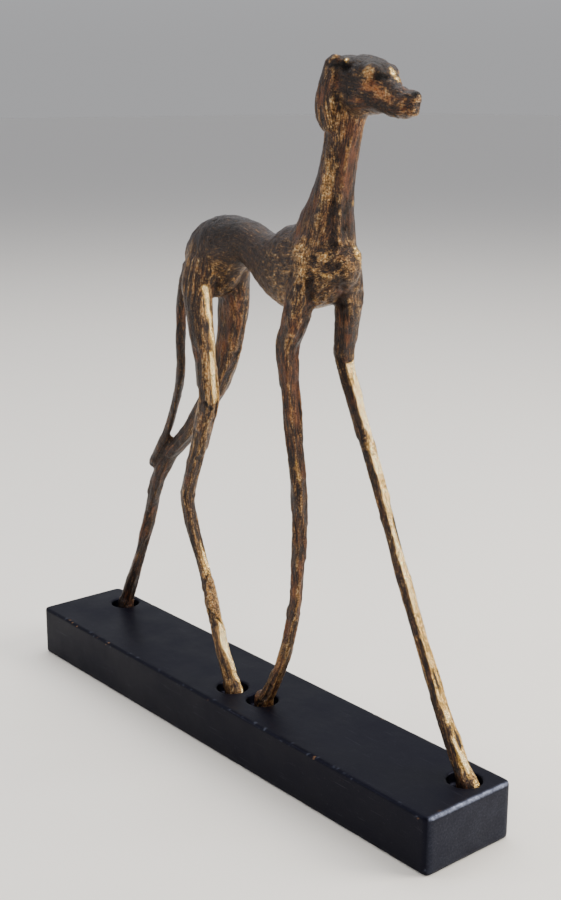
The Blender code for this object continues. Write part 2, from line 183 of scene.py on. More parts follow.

# What it shows of the finish, with light and shade painted in: pixels along each patch, its spread
# in millimetres, and how much more gold, bare metal, copper and soot it shows than the skin about
# it. On the lit flats and edges the bare metal is painted highlight, and in two places the soot is
# painted shadow
PATCHES = {
    # painted highlight: the pale patch on the far brow
    "far_brow": ([(393, 70), (395, 74), (397, 78)], 3.4, (0.4, 0.95, 0, 0)),
    "near_brow": ([(366, 69)], 2.0, (0.3, 0.5, 0, 0)),
    "brow_patch": ([(371, 69), (367, 75)], 3.0, (0.45, 0.2, 0.2, 0)),
    "orbit_rim": ([(365.5, 80), (366, 85)], 2.2, (0.3, 0.35, 0, 0)),
    "eye": ([(378, 77.5), (384, 77)], 2.0, (-0.4, 0, 0, 1)),
    "under_eye": ([(370, 85), (376, 89), (382, 94), (388, 100)], 3.7, (0.6, 0.05, 0.65, -0.5)),
    "cheek": ([(364, 94), (362, 102), (374, 99)], 4.5, (-0.15, 0, 0.1, 0.1)),
    "jaw": ([(371, 106), (381, 108), (391, 108)], 4.4, (-0.5, 0, 0, 0.5)),
    # painted shadow: the dark band between the ear and the cheek
    "behind_cheek": ([(346, 76), (347, 88), (348, 100)], 5.0, (-0.45, 0, 0, 0.4)),
    "bridge": ([(389, 82), (396, 87), (404, 90), (411, 92)], 3.6, (-0.35, 0, 0, 0)),
    "muzzle": ([(402, 102), (410, 106)], 4.0, (0.05, 0, 0.2, -0.1)),
    "nose": ([(416, 93)], 2.4, (-0.5, 0, 0, 1)),
    "upper_lip": ([(419, 98)], 1.8, (0.4, 0.2, 0, -0.4)),
    "lower_lip": ([(418, 108)], 2.2, (0.15, 0.05, 0, 0)),
    "head_top": ([(345, 56), (356, 57), (368, 60), (380, 64)], 7.0, (-0.5, -0.3, -0.3, 0.6)),
    # painted highlight on the ear's root
    "ear_root": ([(347, 60.5)], 2.2, (0.3, 0.9, 0, 0)),
    # painted shadow under the ear's fold
    "ear_slot": ([(343, 65), (336, 66)], 2.2, (-0.3, 0, 0, 0.9)),
    "ear_red": ([(331, 82), (322, 96)], 4.0, (0, 0, 0.45, 0)),
    "ear_gold": ([(330, 106), (331, 117)], 3.0, (0.12, 0, 0, 0)),
    "neck_gold": ([(331, 163), (327, 180), (323, 198)], 4.2, (0.5, 0.12, -0.3, -0.2)),
    "neck_red": ([(346, 156), (345, 172), (343, 190)], 4.0, (-0.22, 0, 0.42, 0.12)),
    "neck_hollow": ([(340, 148), (339, 155)], 2.4, (-0.45, 0, 0.2, 0.3)),
    "neck_furrow": ([(332, 210), (331, 228), (333, 242)], 2.6, (-0.5, 0, 0.1, 0.4)),
    "neck_slit": ([(345, 204), (345, 218), (343, 232)], 2.0, (-0.4, 0, 0.1, 0.35)),
    # painted highlight along the neck's front edge
    "neck_edge": ([(353, 203), (354, 215)], 2.6, (0.3, 0.7, 0, 0)),
    "collar": ([(312, 232), (308, 244)], 6.0, (0.3, 0, 0, -0.2)),
    "chest_pits": ([(312, 256), (314, 261)], 1.6, (-0.35, 0, 0, 0.35)),
    "chest_pit_right": ([(334, 263), (338, 267)], 1.8, (-0.3, 0, 0, 0.3)),
    "knob": ([(321, 257), (325, 255)], 3.2, (0.6, 0.45, 0, -0.6)),
    "lip": ([(330, 275), (323, 275)], 2.2, (0.3, 0.4, 0, 0)),
    # painted highlight on the far shoulder's point
    "shoulder_point": ([(356, 250), (358, 256), (361, 265)], 3.4, (0.4, 0.8, 0, -0.4)),
    "breast_low": ([(318, 294), (330, 290), (338, 294)], 6.0, (-0.05, 0, 0.4, 0)),
    "shoulder": ([(299, 250), (301, 268), (299, 290), (296, 312)], 5.0, (0.55, 0.12, 0, -0.4)),
    "breast": ([(316, 268), (330, 262), (343, 258)], 6.0, (0.12, 0.03, 0.45, -0.2)),
    "neck_front": (
        [(353, 128), (354, 145), (352, 170), (352, 190), (349, 225)], 5.0, (-0.5, 0, 0.1, 0.2),
    ),
    "armpit": ([(310, 278), (310, 290), (309, 300), (305, 318)], 2.4, (-0.5, 0, 0, 0.3)),
    "far_armpit": ([(341, 282), (341, 290), (341, 305)], 2.6, (-0.4, 0, 0.1, 0.25)),
    "thigh": ([(212, 266), (226, 264), (238, 268)], 7.0, (0.3, 0, 0.1, -0.2)),
    # painted highlight down the near thigh's flat
    "thigh_top": (
        [(205, 288), (207, 300), (210, 318), (212, 333), (213.5, 347)], 2.6, (0.5, 1.1, -0.3, -0.7),
    ),
    "rump_top": ([(198, 226), (214, 220), (232, 222)], 12.0, (-0.4, 0, -0.3, 0.7)),
    "rump_edge": ([(191, 246), (189, 262)], 4.0, (0.3, 0, 0, 0)),
    # painted highlight down the front of the near knee
    "knee_front": ([(212, 354), (214, 378), (215, 401)], 2.5, (0.5, 1.1, -0.3, -0.7)),
    "thigh_back": ([(190, 300), (193, 330), (197, 360), (201, 390)], 4.0, (-0.25, 0, 0, 0.2)),
    "far_thigh": ([(230, 300), (232, 322), (226, 345)], 6.0, (0.1, 0, 0.3, 0)),
    "fore_outer": ([(287, 330), (287, 350)], 3.0, (0.2, 0.05, -0.1, 0)),
    "fore_inner": ([(301, 330), (298, 350)], 3.6, (-0.45, 0, 0.1, 0.3)),
    # painted highlights: the pale strips down the far fore foot, the far foreleg's flat and the
    # near shin
    "far_foot": ([(446, 715), (453, 743), (463, 767), (470, 778)], 2.6, (0.5, 0.6, -0.2, -0.5)),
    "far_flat": ([(362, 400), (367, 425), (372, 450), (378, 468)], 2.6, (0.5, 0.9, -0.2, -0.7)),
    "shin_strip": (
        [(200, 542), (209, 567), (216, 597), (222, 625)], 1.2, (0.2, 0.42, -0.3, -0.3),
    ),
    "far_hind_strip": (
        [(164, 484), (155, 520), (146, 555), (137, 590)], 1.4, (0.35, 0, -0.4, -0.2),
    ),
    # painted highlights down the near foreleg
    "fore_glint": ([(291, 408), (292, 420)], 1.8, (0.45, 0.35, 0.2, -0.3)),
    "fore_glint_low": ([(296, 462), (298, 480)], 1.6, (0.45, 0.4, 0, -0.3)),
    "knee_crack": ([(205, 403), (211, 409), (218, 411)], 1.4, (-0.7, -0.5, 0, 0.8)),
    "far_fore": ([(343, 318), (346, 340)], 6.0, (-0.2, 0, 0.3, 0.1)),
}

# Helpers


def linear(colour):
    """An sRGB hex colour as linear light."""
    parts = [int(colour[i : i + 2], 16) / 255 for i in (1, 3, 5)]
    light = [p / 12.92 if p <= 0.04045 else ((p + 0.055) / 1.055) ** 2.4 for p in parts]
    return (*light, 1)


def node(tree, kind, settings):
    """Adds a node. A setting names a property or a socket, and a node or socket there is linked."""
    made = tree.nodes.new(kind)
    for name, value in settings.items():
        if isinstance(name, str) and hasattr(made, name):
            setattr(made, name, value)
            continue
        if isinstance(value, bpy.types.Node):
            value = next(socket for socket in value.outputs if socket.enabled)
        if isinstance(value, bpy.types.NodeSocket):
            tree.links.new(value, made.inputs[name])
        else:
            made.inputs[name].default_value = value
    return made


def new_material(name):
    material = bpy.data.materials.new(name)
    material.use_nodes = True
    material.node_tree.nodes.clear()
    return material, material.node_tree


def select_only(obj):
    for other in bpy.context.selected_objects:
        other.select_set(False)
    obj.select_set(True)
    bpy.context.view_layer.objects.active = obj


def apply_modifier(obj, kind, **settings):
    select_only(obj)
    modifier = obj.modifiers.new(kind.lower(), kind)
    for name, value in settings.items():
        setattr(modifier, name, value)
    bpy.ops.object.modifier_apply(modifier=modifier.name)


def fine_copy(source, name, cell, softening=0):
    """A copy of a CAD node, merged and skinned over with small even cells."""
    copy = bpy.data.objects.new(name, source.data.copy())
    bpy.context.collection.objects.link(copy)
    select_only(copy)
    bpy.ops.object.mode_set(mode="EDIT")
    bpy.ops.mesh.select_all(action="SELECT")
    bpy.ops.mesh.remove_doubles(threshold=0.01 * MM)
    bpy.ops.object.mode_set(mode="OBJECT")
    copy.data.materials.clear()
    apply_modifier(copy, "REMESH", mode="VOXEL", voxel_size=cell, use_smooth_shade=True)
    if softening:
        apply_modifier(copy, "SMOOTH", factor=0.5, iterations=softening)
    return copy


def points_of(obj):
    flat = np.empty(len(obj.data.vertices) * 3)
    obj.data.vertices.foreach_get("co", flat)
    return flat.reshape(-1, 3)


def normals_of(obj):
    flat = np.empty(len(obj.data.vertices) * 3)
    obj.data.vertex_normals.foreach_get("vector", flat)
    return flat.reshape(-1, 3)


def put_points(obj, points):
    obj.data.vertices.foreach_set("co", points.reshape(-1))
    obj.data.update()


def shade_smooth(obj):
    for polygon in obj.data.polygons:
        polygon.use_smooth = True


def put_attribute(obj, name, values):
    attribute = obj.data.attributes.new(name, "FLOAT", "POINT")
    attribute.data.foreach_set("value", np.clip(values, 0, 1).astype(np.float32))


def rises(value, low, high):
    """0 below low, 1 above high, and smooth between."""
    share = np.clip((value - low) / (high - low), 0, 1)
    return share * share * (3 - 2 * share)


# Noise: the same for the same seed, whatever else is made


def noise_tables(seed):
    rng = np.random.default_rng(seed)
    slopes = rng.normal(size=(256, 3))
    return rng.permutation(256), slopes / np.linalg.norm(slopes, axis=1)[:, None]


def ripple(places, seed):
    """Smooth noise from about -1 to 1, with a bump to every unit of the places."""
    order, slopes = noise_tables(seed)
    cell = np.floor(places).astype(np.int64)
    inside = places - cell
    ease = inside**3 * (inside * (inside * 6 - 15) + 10)
    total = np.zeros(len(places))
    for corner in range(8):
        step = np.array([corner & 1, corner >> 1 & 1, corner >> 2 & 1])
        at = cell + step
        key = order[(order[(order[at[:, 0] % 256] + at[:, 1]) % 256] + at[:, 2]) % 256]
        share = np.prod(np.where(step, ease, 1 - ease), axis=1)
        total += share * np.sum(slopes[key] * (inside - step), axis=1)
    return total * 1.6


def crests(values):
    """Noise turned to ridges with flats between them, from about -0.5 to 0.5."""
    return 0.5 - 1.6 * np.abs(values)


def evened(obj, values, rounds):
    """Values on the points, each averaged with its neighbours a number of times."""
    ends = np.empty(len(obj.data.edges) * 2, np.int64)
    obj.data.edges.foreach_get("vertices", ends)
    first, second = ends[::2], ends[1::2]
    count = np.bincount(ends, minlength=len(values)) + 1.0
    for _ in range(rounds):
        total = values + np.bincount(first, values[second], len(values))
        values = (total + np.bincount(second, values[first], len(values))) / count
    return values


# Working over the wax


def sampled(stations):
    """Even steps along a line: the middles, radii and ways on, and how far along each is."""
    stations = np.array(stations, float)
    lengths = np.linalg.norm(np.diff(stations[:, :3], axis=0), axis=1)
    reach = np.concatenate([[0], np.cumsum(lengths)])
    along = np.arange(0, reach[-1] + LINE_STEP, LINE_STEP)
    rows = np.stack([np.interp(along, reach, stations[:, i]) for i in range(4)], axis=1)
    middles = rows[:, :3]
    for _ in range(3):
        middles[1:-1] = (middles[:-2] + 2 * middles[1:-1] + middles[2:]) / 4
    onward = np.gradient(middles, axis=0)
    onward /= np.linalg.norm(onward, axis=1)[:, None]
    return {"middles": middles, "radii": rows[:, 3], "onward": onward, "along": along}


def about(points, line):
    """Each point by a line: how far along, fore and aside it is, and its gap to the form."""
    middles = line["middles"]
    far = (points**2).sum(1)[:, None] - 2 * points @ middles.T + (middles**2).sum(1)[None]
    near = far.argmin(1)
    onward = line["onward"][near]
    away = points - middles[near]
    on = (away * onward).sum(1)
    away -= on[:, None] * onward
    fore = np.cross([0, 1, 0], onward)
    fore /= np.linalg.norm(fore, axis=1)[:, None]
    aside = np.cross(onward, fore)
    measures = [line["along"][near] + on, (away * fore).sum(1), (away * aside).sum(1)]
    return {
        "place": np.stack(measures, axis=1),
        "fore": fore,
        "aside": aside,
        "gap": np.linalg.norm(away, axis=1) - line["radii"][near],
    }


class Wax:
    """The casting's points in millimetres from the plinth's top, and the tools that work them."""

    def __init__(self, obj):
        self.obj = obj
        self.points = points_of(obj) / MM - PLINTH_TOP
        self.near = {name: about(self.points, sampled(line)) for name, line in LINES.items()}
        gaps = np.stack([near["gap"] for near in self.near.values()])
        pull = np.exp(-(gaps - gaps.min(0)) / JOIN_WIDTH)
        pull /= pull.sum(0)
        self.share = dict(zip(self.near, pull))
        self.update()

    def update(self):
        """Writes the points back and reads the new normals."""
        put_points(self.obj, (self.points + PLINTH_TOP) * MM)
        self.normals = normals_of(self.obj)

    def push(self, amount):
        """Moves each point out along its normal, in millimetres."""
        self.points += self.normals * amount[:, None]

    def bumps(self, size, seed):
        """Noise with bumps of a size in millimetres, or of three sizes along X, Y and Z."""
        return ripple(self.points / size, seed)

    def grain(self, length, width, seed):
        """Noise drawn out along each form, length by width in millimetres."""
        total = np.zeros(len(self.points))
        for index, (name, near) in enumerate(self.near.items()):
            used = self.share[name] > LEAST_SHARE
            scaled = near["place"][used] / [length, width, width]
            total[used] += self.share[name][used] * ripple(scaled, seed * 31 + index)
        return total

    def shave(self, name, start, end, turn, depth, fade=4.0):
        """Planes a long flat on a form: from start to end along it, facing a turn round it."""
        near = self.near[name]
        along = near["place"][:, 0]
        facing = near["fore"] * math.cos(turn) + near["aside"] * math.sin(turn)
        line = sampled(LINES[name])
        middles = [np.interp(along, line["along"], line["middles"][:, i]) for i in range(3)]
        out = ((self.points - np.stack(middles, axis=1)) * facing).sum(1)
        mostly = self.share[name] > 0.5
        used = (along > start) & (along < end) & mostly & (out > 0)
        if used.sum() < FEWEST_SHAVED:
            return
        limit = np.percentile(out[used], HIGH_SIDE) - depth
        window = rises(along, start, start + fade) * (1 - rises(along, end - fade, end))
        cut = np.where(used, np.maximum(0, out - limit), 0) * window
        self.points -= facing * cut[:, None]

    def dab(self, centre, radius, amount):
        """Presses in, or builds up, a soft spot of a radius, all one way."""
        near = 1 - rises(np.linalg.norm(self.points - centre, axis=1), 0, radius)
        way = (self.normals * near[:, None]).sum(0)
        self.points += (near * amount)[:, None] * way / np.linalg.norm(way)

    def gap_to(self, path):
        """How far each point is from a path of one or more places, in millimetres."""
        nearest = np.linalg.norm(self.points - path[0], axis=1)
        for start, end in zip(path, path[1:]):
            run = end - start
            share = np.clip(((self.points - start) @ run) / (run @ run), 0, 1)
            away = self.points - start - share[:, None] * run
            nearest = np.minimum(nearest, np.linalg.norm(away, axis=1))
        return nearest

    def groove(self, path, width, amount):
        """Draws a tool along a path with an uneven hand: in if amount is negative, else out."""
        hand = STEADY_HAND + SHAKY_HAND * self.bumps(4.5, seed=41)
        self.push((1 - rises(self.gap_to(path), 0, width)) * amount * hand)

    def close_to(self, centre, spread):
        """1 at a place on the hound, fading out over a spread, in millimetres."""
        return np.exp(-(((self.points - centre) / spread) ** 2).sum(1))

    def stands_out(self, rounds, rounds_after):
        """How far each point stands proud of the skin about it, evened out in two steps."""
        level = [evened(self.obj, self.points[:, i], rounds) for i in range(3)]
        height = ((self.points - np.stack(level, axis=1)) * self.normals).sum(1)
        return height - evened(self.obj, height, rounds_after)


def places_seen(surface, pixels):
    """Where the hound's surface is, as the wax's points are, at pixels of the photograph."""
    ahead = CAMERA_LOOK.normalized()
    right = ahead.cross(Vector((0, 0, 1))).normalized()
    up = right.cross(ahead)
    places = []
    for u, v in pixels:
        to_right = (u - PHOTO_WIDTH / 2) / FOCAL_PIXELS
        down = (v - PHOTO_HEIGHT / 2) / FOCAL_PIXELS
        way = ahead + right * to_right - up * down
        hit = surface.ray_cast(CAMERA_PLACE, way.normalized())[0]
        if hit is not None:
            places.append(np.array(hit) / MM - PLINTH_TOP)
    return places


# The camera
lens = bpy.data.cameras.new("photo_camera")
camera = bpy.data.objects.new("photo_camera", lens)
bpy.context.collection.objects.link(camera)
camera.location = CAMERA_PLACE
camera.rotation_euler = CAMERA_LOOK.to_track_quat("-Z", "Y").to_euler()
lens.sensor_fit = "VERTICAL"
lens.sensor_height = SENSOR
lens.lens = FOCAL_PIXELS / PHOTO_HEIGHT * SENSOR
lens.clip_start = 0.01
bpy.context.scene.camera = camera

# The floor: board rolled with matt paint, which shows no gleam, only soft shadows
FLOOR_SIZE = 40.0
PALE_PAINT, PAINT_ROUGHNESS = "#EAE6DF", 0.75
bpy.ops.mesh.primitive_plane_add(size=FLOOR_SIZE, location=(0, 0, 0))
floor = bpy.context.object
floor.name = "pale_floor"
board, tree = new_material("matt_pale_board")
shader = node(tree, "ShaderNodeBsdfPrincipled", {
    "Base Color": linear(PALE_PAINT), "Roughness": PAINT_ROUGHNESS,
})
node(tree, "ShaderNodeOutputMaterial", {"Surface": shader})
floor.data.materials.append(board)

# The lamps, all turned to the middle of the statue: the place, the width and height, the watts
# and the colour of each
MIDDLE = Vector((0.02, 0, 0.2))
LAMPS = {
    "window": ((0.95, 0.88, 0.72), (0.6, 0.9), 26, "#FFF9F0"),
    "ceiling": ((-0.3, 0.5, 2.4), (2.6, 2.2), 72, "#FBF9F6"),
    "front_fill": ((1.1, -1.1, 1.3), (0.4, 0.4), 13, "#FFF8EE"),
    "side_fill": ((-0.9, -1.2, 0.9), (0.5, 0.5), 8, "#F4F7FF"),
}
for name, (place, size, watts, colour) in LAMPS.items():
    lamp = bpy.data.lights.new(name, "AREA")
    lamp.shape = "RECTANGLE"
    lamp.size, lamp.size_y = size
    lamp.energy = watts
    lamp.color = linear(colour)[:3]
    holder = bpy.data.objects.new(name, lamp)
    holder.location = place
    holder.rotation_euler = (MIDDLE - holder.location).to_track_quat("-Z", "Y").to_euler()
    bpy.context.collection.objects.link(holder)

# The room: lighter on the far side than behind the camera, and of the floor's tone where they join
FAR_SIDE = math.radians(-140.4)
DARK_WALL, LIGHT_WALL, HORIZON = "#6E7076", "#E6E8EF", "#ADADAF"
world = bpy.data.worlds.new("pale_room")
bpy.context.scene.world = world
world.use_nodes = True
tree = world.node_tree
tree.nodes.clear()
way = node(tree, "ShaderNodeTexCoord", {}).outputs["Generated"]
turned = node(tree, "ShaderNodeMapping", {"Rotation": (0, 0, FAR_SIDE), "Vector": way})
parts = node(tree, "ShaderNodeSeparateXYZ", {"Vector": turned}).outputs
across = node(tree, "ShaderNodeMapRange", {
    "interpolation_type": "SMOOTHSTEP", "From Min": -0.6, "From Max": 0.7, "Value": parts["X"],
})
lift = node(tree, "ShaderNodeMapRange", {
    "interpolation_type": "SMOOTHSTEP", "From Min": 0.02, "From Max": 0.3, "Value": parts["Z"],
})
walls = node(tree, "ShaderNodeMix", {
    "data_type": "RGBA", FACTOR: across,
    COLOUR_A: linear(DARK_WALL), COLOUR_B: linear(LIGHT_WALL),
})
sky = node(tree, "ShaderNodeMix", {
    "data_type": "RGBA", FACTOR: lift, COLOUR_A: linear(HORIZON), COLOUR_B: walls,
})
glow = node(tree, "ShaderNodeBackground", {"Strength": 1.0, "Color": sky})
node(tree, "ShaderNodeOutputWorld", {"Surface": glow})


# The casting: its fine skin, with the tenth or so that the CAD's softening took put back
SKIN_LOST = 0.28
hound = fine_copy(HOUND, "greyhound_casting", HOUND_CELL, HOUND_SOFTENING)
wax = Wax(hound)
wax.push(np.full(len(wax.points), SKIN_LOST))
wax.update()

# Long flats whittled round each leg. Each has its start, length, turn off its side, depth and gap
# to the next between two limits
LEG_SIDES, LEG_END, LAST_START = 5, 4, 10
FLAT_START, FLAT_LENGTH, FLAT_TURN = (0, 18), (22, 60), (-0.25, 0.25)
FLAT_DEPTH, FLAT_GAP = (0.5, 1.2), (-3, 4)
chance = random.Random(7)
for leg in LEGS:
    length = sampled(LINES[leg])["along"][-1]
    for side in range(LEG_SIDES):
        start = LEG_END + chance.uniform(*FLAT_START)
        while start < length - LAST_START:
            flat = chance.uniform(*FLAT_LENGTH)
            turn = (side + 0.5) * math.tau / LEG_SIDES + chance.uniform(*FLAT_TURN)
            end = min(start + flat, length - LEG_END)
            wax.shave(leg, start, end, turn, chance.uniform(*FLAT_DEPTH))
            start += flat + chance.uniform(*FLAT_GAP)

# The broad flats along the front of the legs and the near thigh, where the light catches: where
# each starts and ends along its leg, and its depth
FRONT = math.pi
FRONT_FLATS = (
    ("left_fore", 46, 270, 1.0),
    ("right_hind", 20, 88, 0.8),
    ("right_hind", 150, 262, 1.0),
    ("left_hind", 120, 300, 0.6),
    ("right_fore", 40, 130, 0.6),
)
for leg, start, end, depth in FRONT_FLATS:
    wax.shave(leg, start, end, FRONT, depth, fade=8)
wax.update()

# The marks go where the photograph shows them, on the skin as it is before them
surface = BVHTree.FromObject(hound, bpy.context.evaluated_depsgraph_get())
for pixels, width, depth in MARKS.values():
    wax.groove(places_seen(surface, pixels), width, depth)
for pixel, radius, height in SPOTS.values():
    for spot in places_seen(surface, [pixel]):
        wax.dab(spot, radius, height)
wax.update()

# Tool marks all over: facets down the limbs and neck, by length, width, seed and height; dabs
# across the trunk, by size, seed and height; and fine pits
FACETS = ((38, 5.4, 5, 0.8), (17, 2.6, 3, 0.34))
DABS = ((6.5, 12, 0.6), ((3.4, 3.4, 2.2), 14, 0.3))
PIT_SIZE, PIT_LIMIT, PIT_DEPTH = 2.1, 0.18, 0.25
CHEST, CHEST_SPREAD = (84, -4, 266), (20, 20, 17)
LOIN, LOIN_SPREAD = (14, 0, 286), (30, 30, 22)
share = wax.share
limbs = sum(share[name] for name in LINES if name not in ("trunk", "head"))
chest = wax.close_to(CHEST, CHEST_SPREAD)
calm = 1 - 0.75 * wax.close_to(LOIN, LOIN_SPREAD)
facets = sum(crests(wax.grain(*size_and_seed)) * height for *size_and_seed, height in FACETS)
facets *= 1 - 0.5 * (share["right_ear"] + share["left_ear"])
dabs = sum(crests(wax.bumps(size, seed)) * height for size, seed, height in DABS)
dabs *= 0.25 * limbs + (1 - limbs) * calm + 0.4 * chest
pits = PIT_DEPTH * (1 + chest) * np.minimum(0, wax.bumps(PIT_SIZE, seed=11) + PIT_LIMIT)
wax.push(facets * limbs + dabs + pits)
wax.update()
shade_smooth(hound)

# The finish: how much gold shows through the wax on each form, from the darkest, 0, to rubbed
# bright, 1, and how much more copper there is
GOLD_SHOWING = {
    "trunk": 0.35, "neck": 0.5, "head": 0.24, "right_ear": 0.12, "left_ear": 0.12,
    "right_hind": 0.28, "left_hind": 0.14, "right_fore": 0.0, "left_fore": 0.05, "tail": -0.18,
}
COPPER_SHOWING = {"trunk": -0.3, "neck": 0.2, "right_fore": 0.2, "left_hind": 0.1}
# Where the back is darker: the middle of the place, its spread and how much less gold
DARK_PLACES = (((16, -8, 276), (34, 30, 34), 0.4), ((-26, 0, 292), (36, 30, 15), 0.5))
# Where a leg's finish changes: from a start to an end along it, to so much more or less beyond
GOLD_ALONG = (
    ("left_hind", 120, 150, -0.35),
    ("right_fore", 180, 215, 0.28),
    ("right_hind", 110, 135, -0.14),
    ("right_hind", 200, 225, 0.14),
)
# The painted highlight and bare metal along each leg, in the same way
BARE_AND_HIGHLIGHT_ALONG = (
    ("left_fore", 40, 52, 1.0),
    ("left_fore", 150, 230, -0.25),
    ("right_hind", 146, 160, 0.25),
    ("right_hind", 190, 212, 0.75),
    ("right_fore", 195, 215, 0.45),
)
# The way that a flat faces where the window lamp's painted highlight goes on it: forward, a little
# up and to the left
HIGHLIGHT_WAY = (0.9, 0.28, 0.32)
# How many rounds even out the skin that a point is held against, and then the difference
CLOSE_ROUNDS, BROAD_ROUNDS = (4, 14), (32, 32)

forward, _, upward = wax.normals.T
along = {name: near["place"][:, 0] for name, near in wax.near.items()}
proud = wax.stands_out(*CLOSE_ROUNDS)
broad = wax.stands_out(*BROAD_ROUNDS)
patches = wax.grain(26, 6, seed=21) + 0.5 * wax.bumps(9, seed=22)
streaks = wax.grain(12, 1.5, seed=23)
specks = wax.bumps(1.6, seed=24)

gilt_and_light = sum(share[name] * amount for name, amount in GOLD_SHOWING.items())
for centre, spread, amount in DARK_PLACES:
    gilt_and_light -= amount * wax.close_to(centre, spread)
for leg, start, end, amount in GOLD_ALONG:
    gilt_and_light += amount * share[leg] * rises(along[leg], start, end)
# Less gold on top; painted shade, less gold, where the neck and limbs face back from the window
# lamp, and painted light, more gold, where the limbs face forward to it; and more gold wherever the
# skin stands proud
gilt_and_light -= 0.55 * rises(upward, 0.1, 0.7) * (share["trunk"] + share["head"])
gilt_and_light -= rises(-forward, 0.3, 0.9) * (0.5 * share["neck"] + 0.12 * limbs)
gilt_and_light += 0.1 * rises(forward, 0.1, 0.8) * limbs
gilt_and_light += 0.22 * patches + 0.26 * streaks + 0.08 * specks
gilt_and_light += 1.1 * proud * (1 - 0.65 * chest) + 0.16 * broad

# Bare bright metal and painted highlight: the painted highlight on the flats of three legs that
# face the window lamp, and bare metal on the edges that hands rub
bare_and_highlight = 0.15 * share["left_hind"]
for leg, start, end, amount in BARE_AND_HIGHLIGHT_ALONG:
    bare_and_highlight += amount * share[leg] * rises(along[leg], start, end)
bare_and_highlight *= rises(wax.normals @ HIGHLIGHT_WAY, 0.76, 0.95) * (0.98 + 0.3 * patches + 0.25 * specks)
bare_and_highlight += 0.45 * rises(proud, 0.18, 0.42) * rises(gilt_and_light, 0.4, 0.9)

# Red where the wax is thin over copper-rich metal, and soot in every hollow
copper = 0.1 + 0.3 * wax.bumps(12, seed=31) + 0.4 * wax.grain(16, 3.2, seed=32)
copper += sum(share[name] * amount for name, amount in COPPER_SHOWING.items())
soot = 0.4 * rises(-proud, 0.12, 0.5) + 0.5 * rises(-broad, 0.4, 1.6)
soot *= 1 - 0.5 * chest

finish_and_light = {"gilt_and_light": gilt_and_light, "bare_and_highlight": bare_and_highlight, "copper": copper, "soot": soot}
uneven = np.clip(1 + 0.4 * patches + 0.4 * specks + 0.7 * streaks, 0.1, 1.8)
for pixels, spread, amounts in PATCHES.values():
    path = places_seen(surface, pixels)
    if path:
        patch = np.exp(-((wax.gap_to(path) / spread) ** 2)) * uneven
        for name, amount in zip(finish_and_light, amounts):
            finish_and_light[name] += amount * patch
for name, values in finish_and_light.items():
    put_attribute(hound, name, values)

# Each form's own measures, for the strokes to follow: along it, fore and aside, in millimetres,
# and so far apart that no two forms share their strokes
LAY_APART = 40
lay_of = np.zeros((len(wax.points), 3))
strongest = np.argmax(np.stack([share[name] for name in LINES]), axis=0)
for index, name in enumerate(LINES):
    here = strongest == index
    lay_of[here] = wax.near[name]["place"][here] + index * LAY_APART
lay = hound.data.attributes.new("lay", "FLOAT_VECTOR", "POINT")
lay.data.foreach_set("vector", lay_of.reshape(-1).astype(np.float32))

# Sand-cast brass, waxed umber and rubbed back by hand: a dull brown skin in the hollows, warm gold
# where it is thin, painted glints of pale gold in it, and painted highlights, hard and pale, on the
# planes that are bare. The sand's grain, under half a millimetre, is drawn about twice as coarse,
# so that it shows
STROKE_LENGTH, STROKE_WIDTH = 6.0, 0.7
FLECK, GLINT, CLOUD = 0.8 * MM, 1.1 * MM, 13 * MM
RELIEF = 1.2 * MM
WAX_DARK, WAX_LIGHT, WAX_BROWN = "#130F0F", "#262122", "#573C24"
GOLD_DULL, GOLD_PAINTED_GLINT = "#B98A52", "#F6DCA6"
COPPER_RED, SOOT_BLACK = "#844E2F", "#0E0A08"
BARE_AND_HIGHLIGHT_DEEP, BARE_AND_HIGHLIGHT_PALE = "#BE9445", "#F3E6BC"
BARE_ROUGHNESS = 0.24

brass, tree = new_material("waxed_cast_brass")
masks = {
    name: node(tree, "ShaderNodeAttribute", {"attribute_name": name}).outputs["Fac"]
    for name in finish_and_light
}
lay_place = node(tree, "ShaderNodeAttribute", {"attribute_name": "lay"}).outputs["Vector"]
stroke_place = node(tree, "ShaderNodeMapping", {
    "Scale": (1 / STROKE_LENGTH, 1 / STROKE_WIDTH, 1 / STROKE_WIDTH), "Vector": lay_place,
})
place = node(tree, "ShaderNodeTexCoord", {}).outputs["Object"]
streak = node(tree, "ShaderNodeTexNoise", {
    "Scale": 1.0, "Detail": 3.0, "Roughness": 0.6, "Vector": stroke_place,
})
fleck = node(tree, "ShaderNodeTexNoise", {
    "Scale": 1 / FLECK, "Detail": 4.0, "Roughness": 0.65, "Vector": place,
})
cloud = node(tree, "ShaderNodeTexNoise", {"Scale": 1 / CLOUD, "Detail": 2.0, "Vector": place})
sparks = node(tree, "ShaderNodeTexNoise", {
    "Scale": 1 / GLINT, "Detail": 2.0, "Roughness": 0.6, "Vector": place,
})
stroke = node(tree, "ShaderNodeMix", {
    "data_type": "FLOAT", FACTOR: 0.5, NUMBER_A: streak, NUMBER_B: fleck,
})

